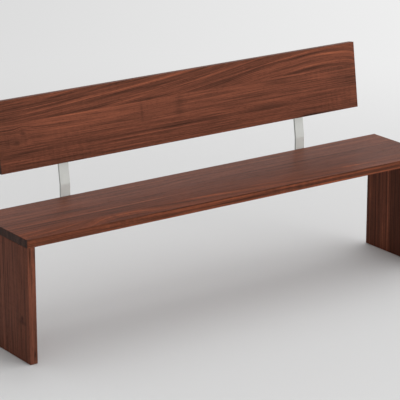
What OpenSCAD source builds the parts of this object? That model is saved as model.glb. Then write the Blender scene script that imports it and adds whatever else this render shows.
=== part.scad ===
// Bench in solid timber: a plank seat on two slab legs, and a leaning backrest on two bent flat bars.
// Millimetres. X runs along the bench, Y from front to rear, Z up from the floor.
// The origin lies on the floor, in the middle of the whole bench's length and depth.

/* [Seat] */
// Length of the seat, end to end
seat_length = 1800; // [1300:10:2400]
// Depth of the seat, front to rear
seat_depth = 350; // [300:5:480]
// Height of the seat's upper face above the floor
seat_height = 450; // [380:5:520]
// Thickness of the seat board
seat_thickness = 30; // [26:1:45]
// Staves glued edge to edge in the seat
seat_staves = 5; // [4:1:7]

/* [Legs] */
// Thickness of each leg board
leg_thickness = 30; // [27:1:45]
// Staves glued edge to edge in each leg
leg_staves = 5; // [4:1:7]

/* [Backrest] */
// Length of the backrest board
back_length = 1600; // [1200:10:2200]
// Height of the backrest board along its slope
back_height = 255; // [180:5:320]
// Thickness of the backrest board
back_thickness = 30; // [26:1:45]
// Staves glued edge to edge in the backrest
back_staves = 3; // [2:1:4]
// Angle at which the backrest leans from upright, in degrees
back_lean = 8; // [2:1:18]
// Distance along the slope from the bend in the posts to the board's lower edge
back_lift = 82; // [30:1:140]

/* [Posts] */
// Distance between the centres of the two posts
post_spacing = 1060; // [600:10:1100]
// Width of the flat bar
bar_width = 40; // [30:1:60]
// Thickness of the flat bar
bar_thickness = 8; // [6:1:12]
// Height of the lean bend above the seat's upper face
bend_height = 44; // [20:1:120]
// Gap between the seat's rear edge and the posts, and inside radius of the bend below it
post_gap = 3; // [2:0.5:8]
// Bar left beyond its outermost screw
bar_end = 22; // [16:1:40]
// Width of the cut corners at the ends of the bar
bar_corner = 5; // [2:1:12]
// Screws in each post's foot, one in each of the rearmost seat staves
foot_screw_count = 3; // [2:1:4]

/* [Brackets] */
// Height and width of the angle bracket's flanges
bracket_flange = 50; // [45:1:70]
// Thickness of the angle bracket
bracket_thickness = 5; // [4:1:6]
// Inside radius of the bracket's bend
bracket_bend_radius = 4; // [2:1:8]
// Distance from a flange's free edge to its screws
bracket_hole_edge = 15; // [11:1:20]
// Bracket left beyond its outermost screws
bracket_end = 25; // [15:1:30]

/* [Fasteners] */
// Diameter of the machine screws that hold the posts
screw_diameter = 6; // [5:1:8]
// Length of the machine screws, head included
screw_length = 25; // [20:1:28]
// Diameter of the machine screws' countersunk heads
screw_head = 12; // [11:0.5:15]
// Width across the flats of the hexagon sockets in all screws
screw_socket = 4; // [3:0.5:5]
// Depth of the hexagon sockets
socket_depth = 2.5; // [1.5:0.5:3]
// Bevel at the machine screws' ends
screw_bevel = 0.8; // [0.4:0.1:1.2]
// Outside diameter of the threaded inserts
insert_diameter = 12; // [11:1:16]
// Length of the threaded inserts
insert_length = 15; // [12:1:18]
// Diameter of the wood screws that hold the brackets
wood_screw_diameter = 5; // [4:0.5:6]
// Length of the wood screws, head included
wood_screw_length = 25; // [20:1:28]
// Diameter of the wood screws' countersunk heads
wood_screw_head = 10; // [9:0.5:12]
// Length of the wood screws' points
wood_screw_point = 5; // [3:1:8]
// Diameter of the blunt end of the wood screws' points
wood_screw_tip = 1; // [0.5:0.5:2]
// Diameter of the dowels between legs and seat
dowel_diameter = 10; // [6:1:14]
// Depth of each dowel in the seat
dowel_in_seat = 18; // [12:1:22]
// Depth of each dowel in the leg
dowel_in_leg = 22; // [16:1:24]

/* [Glides] */
// Diameter of the glides under the legs
glide_diameter = 22; // [16:1:24]
// Thickness of a glide's disc
glide_thickness = 5; // [3:0.5:8]
// Height by which a glide stands proud of the leg
glide_proud = 1; // [0.5:0.5:2]
// Diameter of a glide's stub
stub_diameter = 9; // [6:1:12]
// Length of a glide's stub
stub_length = 16; // [10:1:30]

/* [Finish] */
// Width of the eased edges of the boards
edge_ease = 1.5; // [0.5:0.5:3]
// Clearance all round between a fastener and its hole
fit_gap = 0.15; // [0.1:0.05:0.3]
// Depth by which a screw's head lies below the face around it
head_sink = 0.3; // [0.2:0.1:0.8]
// Room left at the blind end of a hole
hole_end_gap = 1; // [0.5:0.5:2]

/* [Hidden] */
$fn = 48;

// Width of one stave in each board
seat_stave = seat_depth / seat_staves;
leg_stave = seat_depth / leg_staves;
back_stave_height = back_height / back_staves;

// Levels, measured up from the floor
seat_under = seat_height - seat_thickness;
bend_level = seat_height + bend_height;
leg_height = seat_under - glide_proud;

// Reach of the posts: up the slope from the bend, and forward under the seat from its rear edge
post_reach = back_lift + (back_staves - 0.5) * back_stave_height + bar_end;
foot_reach = (foot_screw_count - 0.5) * seat_stave + bar_end;

// Depth of the whole bench, and the plane of the posts' front faces, counted from the seat's front edge
board_overhang = (back_lift + back_height) * sin(back_lean);
post_overhang = post_reach * sin(back_lean) + bar_thickness * cos(back_lean);
bench_depth = seat_depth + post_gap + max(board_overhang, post_overhang);
post_front = seat_depth + post_gap;

// Top of the bend below the posts, and the drop of the lean bend from their front face to their rear face
bend_top = seat_under + post_gap;
kink_depth = bar_thickness * tan(back_lean / 2);

// Inner faces of the legs, and the brackets that lie in the corners above them
leg_inner = seat_length / 2 - leg_thickness;
bracket_length = (leg_staves - 3) * leg_stave + 2 * bracket_end;
bracket_front = 1.5 * leg_stave - bracket_end;
bracket_hole = bracket_flange - bracket_hole_edge;

// Holes that take the inserts and the wood screws
insert_hole_depth = max(insert_length, screw_length + head_sink - bar_thickness) + hole_end_gap;
wood_hole_depth = wood_screw_length + head_sink - bracket_thickness + hole_end_gap;
glide_recess = glide_thickness - glide_proud;

// A cutting solid reaches this far past the face that it opens
cut_past = 1;

walnut_tones = ["#6f4433", "#7b4c39", "#643b2c"];
steel_colour = "#b4b5b1";
zinc_colour = "#c9ccce";
brass_colour = "#b8954f";
beech_colour = "#d2ab7c";
glide_colour = "#3a3734";

function numbered(name, count) = [for (i = [1:count]) str(name, "_", i)];
function shade(i) = walnut_tones[i % len(walnut_tones)];
function stave_middle(i, width) = (i - 0.5) * width;

// Boards

// Rectangle with its four corners cut off
module cut_rectangle(w, h) {
    e = edge_ease;
    polygon([[e, 0], [w - e, 0], [w, e], [w, h - e], [w - e, h], [e, h], [0, h - e], [0, e]]);
}

// Board with all its edges eased, from the origin towards +X, +Y and +Z
module eased_board(x, y, z) {
    intersection() {
        linear_extrude(z) cut_rectangle(x, y);
        translate([0, y, 0]) rotate([90, 0, 0]) linear_extrude(y) cut_rectangle(x, z);
        rotate([90, 0, 90]) linear_extrude(x) cut_rectangle(y, z);
    }
}

module seat_board() {
    translate([-seat_length / 2, 0, seat_under])
        eased_board(seat_length, seat_depth, seat_thickness);
}

module leg_board() {
    translate([leg_inner, 0, glide_proud])
        eased_board(leg_thickness, seat_depth, leg_height);
}

module back_board() {
    translate([-back_length / 2, -back_thickness, back_lift])
        eased_board(back_length, back_thickness, back_height);
}

// Frame of the leaning part: Y is square to the posts' front face, Z runs up the slope from the bend
module on_the_slope() {
    translate([0, post_front, bend_level]) rotate([-back_lean, 0, 0]) children();
}

// Moves a piece from the seat's front edge to the middle of the bench's depth
module in_place() {
    translate([0, -bench_depth / 2, 0]) children();
}

// Pieces on the right-hand side, repeated on the left
module on_both_sides() {
    children();
    mirror([1, 0, 0]) children();
}

// Places of the fasteners. Each puts its children's +Z into the wood, with Z = 0 on the wood's face

module at_dowels() {
    for (i = [1:leg_staves])
        translate([leg_inner + leg_thickness / 2, stave_middle(i, leg_stave), seat_under])
            children();
}

module at_glides() {
    for (i = [1, leg_staves])
        translate([leg_inner + leg_thickness / 2, stave_middle(i, leg_stave), glide_proud])
            children();
}

module at_foot_screws() {
    for (i = [1:foot_screw_count])
        translate([post_spacing / 2, seat_depth - stave_middle(i, seat_stave), seat_under])
            children();
}

module at_back_screws() {
    on_the_slope()
        for (i = [1:back_staves])
            translate([post_spacing / 2, 0, back_lift + stave_middle(i, back_stave_height)])
                rotate([90, 0, 0]) children();
}

module at_bracket_seat_screws() {
    for (i = [2:leg_staves - 1])
        translate([leg_inner - bracket_hole, stave_middle(i, leg_stave), seat_under])
            children();
}

module at_bracket_leg_screws() {
    for (i = [2:leg_staves - 1])
        translate([leg_inner, stave_middle(i, leg_stave), seat_under - bracket_hole])
            rotate([0, 90, 0]) children();
}

// Holes

// Blind hole into the wood, opened past its face
module blind_hole(diameter, depth) {
    translate([0, 0, -cut_past]) cylinder(d = diameter + 2 * fit_gap, h = depth + cut_past);
}

module insert_hole() {
    blind_hole(insert_diameter, insert_hole_depth);
}

module wood_screw_hole() {
    blind_hole(wood_screw_diameter, wood_hole_depth);
}

// Hole through a metal plate of the given thickness, whose far face is at Z = 0, countersunk below
module countersunk_hole(plate, diameter, head) {
    mouth = head + 2 * fit_gap;
    shank = diameter + 2 * fit_gap;
    taper = (head - diameter) / 2;
    translate([0, 0, -plate]) {
        translate([0, 0, -cut_past]) cylinder(d = shank, h = plate + 2 * cut_past);
        translate([0, 0, -cut_past]) cylinder(d = mouth, h = cut_past + head_sink);
        translate([0, 0, head_sink]) cylinder(d1 = mouth, d2 = shank, h = taper);
    }
}

module seat_holes() {
    on_both_sides() {
        at_dowels() blind_hole(dowel_diameter, dowel_in_seat + hole_end_gap);
        at_foot_screws() insert_hole();
        at_bracket_seat_screws() wood_screw_hole();
    }
}

module leg_holes() {
    at_dowels() mirror([0, 0, 1]) blind_hole(dowel_diameter, dowel_in_leg + hole_end_gap);
    at_bracket_leg_screws() wood_screw_hole();
    at_glides() {
        blind_hole(glide_diameter, glide_recess);
        blind_hole(stub_diameter, glide_recess + stub_length + hole_end_gap);
    }
}

// Staves

// Strip of a board, numbered from the front
module seat_stave(i) {
    color(shade(i))
        difference() {
            intersection() {
                seat_board();
                translate([-seat_length / 2, (i - 1) * seat_stave, seat_under])
                    cube([seat_length, seat_stave, seat_thickness]);
            }
            seat_holes();
        }
}

module right_leg_stave(i) {
    color(shade(i + 1))
        difference() {
            intersection() {
                leg_board();
                translate([leg_inner, (i - 1) * leg_stave, glide_proud])
                    cube([leg_thickness, leg_stave, leg_height]);
            }
            leg_holes();
        }
}

module left_leg_stave(i) {
    mirror([1, 0, 0]) right_leg_stave(i);
}

// Strip of the backrest, numbered from the bottom
module back_stave(i) {
    color(shade(i))
        difference() {
            on_the_slope()
                intersection() {
                    back_board();
                    translate([-back_length / 2, -back_thickness, back_lift + (i - 1) * back_stave_height])
                        cube([back_length, back_thickness, back_stave_height]);
                }
            on_both_sides() at_back_screws() insert_hole();
        }
}

// Metal

// Waste outside the cut corners of a bar's end, which lies at Y = 0 and points to +Y
module corner_waste() {
    past = bar_corner + cut_past;
    for (side = [0, 1])
        mirror([side, 0, 0])
            translate([bar_width / 2, 0, -cut_past])
                linear_extrude(bar_thickness + 2 * cut_past)
                    polygon([[-past, cut_past], [cut_past, -past], [cut_past, cut_past]]);
}

// Bend of a plate about the X axis, from start to start + turn degrees, counted from +Y towards +Z
module plate_bend(radius, thickness, width, start, turn) {
    rotate([90, 0, 90])
        translate([0, 0, -width / 2])
            rotate([0, 0, start])
                rotate_extrude(angle = turn)
                    translate([radius, 0]) square([thickness, width]);
}

// Upright behind the seat and arm behind the backrest, centred on X, from one side view of Y and Z
module upright_and_arm() {
    reach = post_reach + cut_past;
    rear_end = [post_front + reach * sin(back_lean) + bar_thickness * cos(back_lean),
        bend_level + reach * cos(back_lean) - bar_thickness * sin(back_lean)];
    difference() {
        rotate([90, 0, 90])
            linear_extrude(bar_width, center = true)
                polygon([
                    [post_front, bend_top],
                    [post_front, bend_level + reach],
                    rear_end,
                    [post_front + bar_thickness, bend_level - kink_depth],
                    [post_front + bar_thickness, bend_top]
                ]);
        // Waste in front of the arm, and above its end
        on_the_slope() {
            translate([-bar_width, -bench_depth, 0]) cube([2 * bar_width, bench_depth, 2 * reach]);
            translate([-bar_width, -bench_depth, post_reach]) cube([2 * bar_width, 2 * bench_depth, reach]);
        }
    }
}

module right_post() {
    color(steel_colour)
        difference() {
            translate([post_spacing / 2, 0, 0]) {
                // Foot under the seat, and the bend behind it
                translate([-bar_width / 2, seat_depth - foot_reach, seat_under - bar_thickness])
                    cube([bar_width, foot_reach, bar_thickness]);
                translate([0, seat_depth, bend_top])
                    plate_bend(post_gap, bar_thickness, bar_width, -90, 90);
                upright_and_arm();
            }
            translate([post_spacing / 2, seat_depth - foot_reach, seat_under])
                rotate([180, 0, 0]) corner_waste();
            on_the_slope()
                translate([post_spacing / 2, bar_thickness, post_reach])
                    rotate([90, 0, 0]) corner_waste();
            at_foot_screws() countersunk_hole(bar_thickness, screw_diameter, screw_head);
            at_back_screws() countersunk_hole(bar_thickness, screw_diameter, screw_head);
        }
}

module left_post() {
    mirror([1, 0, 0]) right_post();
}

// Angle that stiffens the corner between a leg and the seat
module right_bracket() {
    reach = bracket_bend_radius + bracket_thickness;
    color(steel_colour)
        difference() {
            translate([leg_inner, bracket_front, seat_under]) {
                translate([-bracket_flange, 0, -bracket_thickness])
                    cube([bracket_flange - reach, bracket_length, bracket_thickness]);
                translate([-bracket_thickness, 0, -bracket_flange])
                    cube([bracket_thickness, bracket_length, bracket_flange - reach]);
                translate([-reach, bracket_length / 2, -reach])
                    rotate([0, 0, -90])
                        plate_bend(bracket_bend_radius, bracket_thickness, bracket_length, 0, 90);
            }
            at_bracket_seat_screws()
                countersunk_hole(bracket_thickness, wood_screw_diameter, wood_screw_head);
            at_bracket_leg_screws()
                countersunk_hole(bracket_thickness, wood_screw_diameter, wood_screw_head);
        }
}

module left_bracket() {
    mirror([1, 0, 0]) right_bracket();
}

// Fasteners

// Countersunk screw along +Z, whose head lies in a plate of the given thickness below Z = 0
module countersunk_screw(plate, diameter, head, length, point, point_diameter) {
    taper = (head - diameter) / 2;
    translate([0, 0, head_sink - plate])
        difference() {
            union() {
                cylinder(d1 = head, d2 = diameter, h = taper);
                translate([0, 0, taper]) cylinder(d = diameter, h = length - taper - point);
                translate([0, 0, length - point])
                    cylinder(d1 = diameter, d2 = point_diameter, h = point);
            }
            translate([0, 0, -cut_past])
                cylinder(d = screw_socket / cos(30), h = socket_depth + cut_past, $fn = 6);
        }
}

module machine_screw() {
    countersunk_screw(
        bar_thickness, screw_diameter, screw_head, screw_length,
        screw_bevel, screw_diameter - 2 * screw_bevel
    );
}

module wood_screw() {
    countersunk_screw(
        bracket_thickness, wood_screw_diameter, wood_screw_head, wood_screw_length,
        wood_screw_point, wood_screw_tip
    );
}

// Sleeve with an inside thread for a machine screw, flush with the wood's face
module threaded_insert() {
    difference() {
        cylinder(d = insert_diameter, h = insert_length);
        translate([0, 0, -cut_past])
            cylinder(d = screw_diameter + 2 * fit_gap, h = insert_length + 2 * cut_past);
    }
}

module leg_dowels() {
    color(beech_colour)
        on_both_sides() at_dowels()
            translate([0, 0, -dowel_in_leg])
                cylinder(d = dowel_diameter, h = dowel_in_leg + dowel_in_seat);
}

module bracket_screws() {
    color(zinc_colour)
        on_both_sides() {
            at_bracket_seat_screws() wood_screw();
            at_bracket_leg_screws() wood_screw();
        }
}

module foot_screws() {
    color(steel_colour) on_both_sides() at_foot_screws() machine_screw();
}

module back_screws() {
    color(steel_colour) on_both_sides() at_back_screws() machine_screw();
}

module seat_inserts() {
    color(brass_colour) on_both_sides() at_foot_screws() threaded_insert();
}

module back_inserts() {
    color(brass_colour) on_both_sides() at_back_screws() threaded_insert();
}

// Disc let into the leg's end grain, with its lower edge eased and a stub pressed into the leg
module floor_glides() {
    ease = glide_proud;
    color(glide_colour)
        on_both_sides() at_glides()
            translate([0, 0, -glide_proud]) {
                cylinder(d1 = glide_diameter - 2 * ease, d2 = glide_diameter, h = ease);
                translate([0, 0, ease]) cylinder(d = glide_diameter, h = glide_thickness - ease);
                translate([0, 0, glide_thickness]) cylinder(d = stub_diameter, h = stub_length);
            }
}

for (i = [1:seat_staves])
    in_place() seat_stave(i);
for (i = [1:leg_staves])
    in_place() left_leg_stave(i);
for (i = [1:leg_staves])
    in_place() right_leg_stave(i);
for (i = [1:back_staves])
    in_place() back_stave(i);
in_place() left_post();
in_place() right_post();
in_place() left_bracket();
in_place() right_bracket();
in_place() leg_dowels();
in_place() bracket_screws();
in_place() foot_screws();
in_place() back_screws();
in_place() seat_inserts();
in_place() back_inserts();
in_place() floor_glides();
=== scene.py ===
"""Looks of a timber bench with a leaning backrest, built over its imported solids."""

import math
from typing import NamedTuple

import bmesh
import bpy
from mathutils import Euler, Matrix, Vector


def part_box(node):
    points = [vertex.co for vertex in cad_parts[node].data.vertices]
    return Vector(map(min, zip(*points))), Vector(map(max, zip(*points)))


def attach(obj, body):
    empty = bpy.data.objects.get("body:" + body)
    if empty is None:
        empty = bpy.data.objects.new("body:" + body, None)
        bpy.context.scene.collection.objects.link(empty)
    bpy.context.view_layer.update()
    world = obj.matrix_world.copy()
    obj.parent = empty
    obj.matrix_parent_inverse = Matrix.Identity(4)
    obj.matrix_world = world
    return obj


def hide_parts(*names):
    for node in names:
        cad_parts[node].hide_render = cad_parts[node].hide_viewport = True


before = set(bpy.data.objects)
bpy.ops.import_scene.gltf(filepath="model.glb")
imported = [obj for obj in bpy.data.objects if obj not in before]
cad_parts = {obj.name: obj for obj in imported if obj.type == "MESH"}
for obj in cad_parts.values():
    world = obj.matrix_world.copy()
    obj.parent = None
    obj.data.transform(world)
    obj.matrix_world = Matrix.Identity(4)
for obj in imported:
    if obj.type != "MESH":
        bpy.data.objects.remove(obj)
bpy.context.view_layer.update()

bl_info = {
    "name": "Timber bench with a leaning backrest",
    "version": (1, 0, 0),
    "blender": (4, 5, 0),
    "location": "3D View > Sidebar > Bench",
    "description": "Builds the staves, posts, brackets and fasteners of the bench over its solids",
    "category": "Object",
}

MM = 0.001
QUARTER_TURN = math.pi / 2
SEAT_STAVES = [f"seat_stave_{i}" for i in range(1, 6)]
LEFT_LEG_STAVES = [f"left_leg_stave_{i}" for i in range(1, 6)]
RIGHT_LEG_STAVES = [f"right_leg_stave_{i}" for i in range(1, 6)]
BACK_STAVES = [f"back_stave_{i}" for i in range(1, 4)]
ALL_STAVES = SEAT_STAVES + LEFT_LEG_STAVES + RIGHT_LEG_STAVES + BACK_STAVES
POSTS = ["left_post", "right_post"]

# Cuts of the staves

FACE = 15  # a stave's wide face, in millimetres from its middle
EDGE = -36  # just beyond its front edge
KNOT_DEPTH = 12
KNOT_STRENGTH = -0.22


class Mark(NamedTuple):
    """A light, or below nought dark, mark on the stave: mostly the wood's own tone, and painted shade where a
    comment says so. Lengths in metres from the stave's middle.
    """

    middle: tuple
    reach: tuple
    strength: float


def metres(*millimetres):
    return tuple(length / 1000 for length in millimetres)


def mark(along, across, length, width, strength, through=FACE, depth=20):
    """A mark by its place along, across and through the stave, and how far it reaches each way."""
    return Mark(metres(along, across, through), metres(length, width, depth), strength)


def edge_mark(along, length, strength, through=0, depth=30, width=2):
    """A mark on the stave's front edge."""
    return mark(along, EDGE, length, width, strength, through, depth)


def small_knot(along, across, length, width):
    """A small dark knot close under the wide face."""
    return mark(along, across, length, width, KNOT_STRENGTH, KNOT_DEPTH)


class Cut(NamedTuple):
    """How a stave was cut from its log. Lengths in millimetres from the stave's middle.

    heart: place of the log's heart, across and through the stave
    rise: how far the grain has drifted across the stave, at each share of its length
    light, warm: its tint
    bold, curl: strength of its stripes and of its cross ripple
    rings: width of its rings, as a share of the usual width
    streaks: marks that follow the grain
    spots: marks that lie square to the stave
    knots: places that the grain flows around
    """

    heart: tuple = None
    rise: tuple = ((0, 0), (1, 6))
    light: float = 1.0
    warm: float = 1.0
    bold: float = 0.6
    curl: float = 0.3
    rings: float = 1.0
    streaks: tuple = ()
    spots: tuple = ()
    knots: tuple = ()


CUTS = {
    "seat_stave_1": Cut(
        heart=(-150, -50), light=1.06, warm=1.05, bold=0.7, curl=0.8, rings=1.2,
        rise=(
            (0, -46), (0.08, -28), (0.15, 0), (0.19, 33), (0.24, 42), (0.29, 25), (0.36, 0), (0.42, -10),
            (0.50, -26), (0.62, -48), (0.80, -80), (1, -105),
        ),
        streaks=(
            mark(-472, 24, 160, 6, 0.22), mark(-466, -8, 110, 4.5, -0.36), mark(-247, 12, 150, 4.5, -0.22),
            mark(-95, 21, 60, 6, 0.22), mark(130, -16, 130, 5, 0.20), mark(450, 0, 120, 5, -0.22),
            mark(540, 20, 45, 8, 0.26),
        ),
        spots=(
            edge_mark(0, 900, -0.16), edge_mark(0, 600, 0.28, through=8, depth=2.2),
            edge_mark(-850, 120, -0.08), mark(-550, 0, 300, 50, 0.05, depth=10),
            edge_mark(150, 500, -0.35, through=-3, depth=2.8),
            edge_mark(720, 130, -0.22, through=-2, depth=3.4),
            edge_mark(150, 600, 0.31, through=-11, depth=2), edge_mark(0, 900, -0.30, through=13, depth=1.6),
        ),
    ),
    "seat_stave_2": Cut(
        light=0.92, rise=((0, 0), (0.30, 2), (0.42, 16), (0.55, 24), (1, 20)),
        spots=(mark(-450, 33, 380, 5, 0.38),),
    ),
    "seat_stave_3": Cut(light=0.94, bold=0.7, rise=((0, 0), (0.35, 4), (0.50, 16), (0.80, 10), (1, 0))),
    "seat_stave_4": Cut(
        light=1.07, bold=0.55, rise=((0, 0), (0.35, 0), (0.45, 12), (0.60, 20), (1, 10)),
        spots=(mark(500, -33, 360, 3.5, -0.42),),
    ),
    "seat_stave_5": Cut(
        light=1.07, bold=0.5, rise=((0, 0), (0.40, 0), (0.50, 8), (0.60, 0), (1, -10)),
        spots=(mark(-780, 0, 100, 50, 0.08),),
    ),
    "back_stave_1": Cut(
        light=0.97, bold=0.12, curl=0.5,
        streaks=(
            mark(-120, 19, 320, 2.2, -0.28), mark(-100, 9, 350, 2, 0.24), mark(0, 1, 200, 1.8, -0.16),
            mark(-620, -24, 130, 1.5, -0.24), mark(-560, -17, 120, 1.5, 0.18), mark(240, 15, 200, 1.6, -0.20),
            mark(280, 4, 180, 1.5, 0.18), mark(-300, -30, 200, 1.5, -0.18), mark(450, -12, 200, 1.5, -0.16),
        ),
        # The broad dark spot at the left end is painted shade: the backrest is darker towards its left end,
        # where less light falls.
        spots=(mark(568, -38.5, 30, 3, -0.52), mark(-720, 0, 200, 60, -0.10, depth=30)),
    ),
    "back_stave_2": Cut(
        light=1.07, bold=0.12, curl=0.5,
        rise=((0, 4), (0.08, 0), (0.30, -8), (0.50, -5), (0.80, 0), (1, 2)),
        streaks=(mark(-450, 25, 220, 18, 0.10, depth=30),),
        spots=(
            mark(-200, 10, 4, 30, -0.14), mark(-35, 0, 14, 40, -0.15, depth=30),
            # The broad dark spot at -780 is painted shade: darker towards the backrest's left end, where less
            # light falls.
            mark(-780, 0, 60, 50, -0.10, depth=30), mark(-420, 39, 260, 2.8, 0.20),
            mark(740, 0, 80, 60, -0.13, depth=30),
        ),
        knots=(small_knot(-700, 4, 18, 14), small_knot(-728, -26, 14, 10)),
    ),
    "back_stave_3": Cut(
        heart=(300, -40), light=0.98, bold=0.75, rings=0.65,
        rise=((0, 0), (0.07, 3), (0.30, 26), (0.50, 55), (0.80, 114), (0.92, 125), (1, 106)),
        streaks=(
            mark(-553, 27, 45, 2.5, -0.40), mark(620, -37, 100, 2.6, -0.34), mark(-200, 18, 200, 3, 0.24),
            mark(-150, 7, 220, 4, -0.16), mark(-450, -10, 180, 2.6, -0.16), mark(250, -17, 140, 3, -0.34),
            mark(340, -6, 150, 3, 0.28), mark(480, 16, 120, 4, -0.30), mark(500, 27, 100, 3.5, 0.26),
            mark(600, 10, 160, 3.5, 0.32), mark(600, -21, 110, 3, 0.24),
        ),
        spots=(
            # The broad dark spot at -770 is painted shade: darker towards the backrest's left end, where less
            # light falls.
            mark(-770, 0, 50, 60, -0.10, depth=30), mark(-450, -37, 280, 3.5, -0.20),
            mark(720, 0, 80, 60, 0.08, depth=30),
        ),
    ),
    "left_leg_stave_1": Cut(
        light=0.97, warm=0.97, bold=0.5,
        spots=(
            edge_mark(182, 24, -0.45, through=8, depth=2.2, width=10),
            edge_mark(180, 18, -0.28, through=-10, depth=2.2, width=10),
            edge_mark(-176, 10, -0.42, through=-6, depth=2.8, width=8),
            mark(0, -37, 300, 4, -0.05, through=0, depth=30),
            mark(-52, 12, 5, 6, -0.28, depth=10), mark(-68, 9, 6, 14, -0.24, depth=10),
        ),
        knots=(small_knot(-60, 14, 14, 8),),
    ),
    "left_leg_stave_2": Cut(light=0.91, warm=0.95, bold=0.25),
    "left_leg_stave_3": Cut(light=0.92, warm=0.95),
    # The right leg's staves are darker than the left leg's, partly wood and partly painted shade. The step
    # from the front three to the rear two is in the wood. The darkening of all five stands in for the shade
    # under the seat on the leg's inner face.
    "right_leg_stave_1": Cut(light=0.60, bold=0.4),
    "right_leg_stave_2": Cut(light=0.60, bold=0.4),
    "right_leg_stave_3": Cut(light=0.58, bold=0.4),
    "right_leg_stave_4": Cut(
        light=0.82, bold=0.9,
        streaks=(mark(0, -22, 300, 3.6, 0.44, depth=30), mark(-140, 5, 60, 3.4, 0.36, depth=30)),
    ),
    "right_leg_stave_5": Cut(light=0.73, bold=0.9, streaks=(mark(40, 13, 70, 4.5, 0.26, depth=30),)),
}


def heart_of(name):
    """Place of the log's heart in metres. Where the cut gives none, it changes sides from stave to stave."""
    index = ALL_STAVES.index(name)
    side = 1 if index % 2 else -1
    away = 130 + 20 * (index % 4)
    below = 50 + 10 * (index % 3)
    return metres(*(CUTS.get(name, Cut()).heart or (side * away, -below)))


# Selecting and shaping

NEAR = 0.01 * MM  # points closer than this lie in the same place
MERGED = 0.001 * MM  # and points closer than this become one
WOOD_SMOOTH = math.radians(40)
METAL_SMOOTH = math.radians(35)
SHARP = math.radians(50)
ROUND = 0.5
UPWARDS = 0.9


def deselect():
    """Leaves edit mode, with nothing selected."""
    if bpy.context.mode != "OBJECT":
        bpy.ops.object.mode_set(mode="OBJECT")
    bpy.ops.object.select_all(action="DESELECT")


def take(*pieces):
    """Selects these pieces alone, the last one active."""
    deselect()
    for piece in pieces:
        piece.select_set(True)
    bpy.context.view_layer.objects.active = pieces[-1]


def select(piece, kind, test):
    """Selects the EDGE or FACE elements of the piece that pass the test, and stays in edit mode."""
    bpy.ops.object.mode_set(mode="EDIT")
    bpy.ops.mesh.select_mode(type=kind)
    bpy.ops.mesh.select_all(action="DESELECT")
    shape = bmesh.from_edit_mesh(piece.data)
    for part in shape.edges if kind == "EDGE" else shape.faces:
        part.select_set(bool(test(part)))
    bmesh.update_edit_mesh(piece.data)


def faces_up(face):
    return face.normal.z > UPWARDS


def turn_outwards(*, merged):
    """Turns the faces of the active piece outwards, with its double points merged first if asked."""
    bpy.ops.object.mode_set(mode="EDIT")
    bpy.ops.mesh.select_all(action="SELECT")
    if merged:
        bpy.ops.mesh.remove_doubles(threshold=MERGED)
    bpy.ops.mesh.normals_make_consistent(inside=False)
    bpy.ops.object.mode_set(mode="OBJECT")


def place_in_mesh():
    bpy.ops.object.transform_apply(location=True, rotation=True, scale=True)


def added(name):
    """The primitive that was just added, under its name."""
    piece = bpy.context.object
    piece.name = piece.data.name = name
    return piece


def block(name, low, high):
    """A block between two corners, its place and size in its mesh."""
    deselect()
    bpy.ops.mesh.primitive_cube_add(size=1, location=(low + high) / 2)
    piece = added(name)
    piece.scale = high - low
    place_in_mesh()
    return piece


def cylinder(name, radius, depth, level, sides):
    """An upright cylinder about the Z axis, with its middle at the level."""
    deselect()
    bpy.ops.mesh.primitive_cylinder_add(vertices=sides, radius=radius, depth=depth, location=(0, 0, level))
    piece = added(name)
    bpy.ops.object.transform_apply(location=True)
    return piece


def extrude(way):
    bpy.ops.mesh.extrude_region_move(TRANSFORM_OT_translate={"value": way})


def round_edges(radius, steps):
    """Rounds the selected edges."""
    bpy.ops.mesh.bevel(offset=radius, segments=steps, profile=ROUND, affect="EDGES")


def finish_surface(piece, smooth):
    """Turns the faces outwards and shades the rounded edges smoothly, with the flat faces kept flat."""
    take(piece)
    turn_outwards(merged=True)
    place_in_mesh()
    bpy.ops.object.shade_smooth_by_angle(angle=smooth)
    bpy.ops.object.modifier_add(type="WEIGHTED_NORMAL")
    weighted = piece.modifiers[-1]
    weighted.keep_sharp = True
    bpy.ops.object.modifier_apply(modifier=weighted.name)


def cut_away(piece, cutter):
    """Cuts the cutter's shape out of the piece and throws the cutter away."""
    take(piece)
    bpy.ops.object.modifier_add(type="BOOLEAN")
    cut = piece.modifiers[-1]
    cut.operation = "DIFFERENCE"
    cut.solver = "EXACT"
    cut.object = cutter
    bpy.ops.object.modifier_apply(modifier=cut.name)
    bpy.data.objects.remove(cutter)


def copy_of(piece, name, matrix):
    """A copy with its own mesh, moved by the matrix."""
    take(piece)
    bpy.ops.object.duplicate(linked=False)
    twin = added(name)
    twin.matrix_world = matrix
    place_in_mesh()
    return twin


def copies_of(piece, name, places):
    """Copies of the piece at all the places, joined into one. The piece itself is thrown away."""
    copies = [copy_of(piece, name + "_part", place) for place in places]
    bpy.data.objects.remove(piece)
    take(*copies)
    bpy.ops.object.join()
    return added(name)


def mirrored(piece, name):
    """The piece's twin on the other side of the bench, right side out."""
    twin = copy_of(piece, name, Matrix.Diagonal((-1, 1, 1, 1)))
    turn_outwards(merged=False)
    return twin


def dress(piece, material, slot, *nodes):
    """Gives a finished piece its material, and lets it ride on the bench in place of the solids."""
    piece.data.materials.clear()
    piece.data.materials.append(material)
    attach(piece, "root")
    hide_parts(*nodes)


def box_around(boxes):
    """The box around several boxes."""
    lows, highs = zip(*boxes)
    return Vector(map(min, zip(*lows))), Vector(map(max, zip(*highs)))


def middle_of(name):
    """Middle of a node's box."""
    return sum(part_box(name), Vector()) / 2


def points_of(name, matrix):
    """The points of a node's solid, moved by the matrix."""
    return [matrix @ vertex.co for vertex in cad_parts[name].data.vertices]


# Materials

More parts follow.
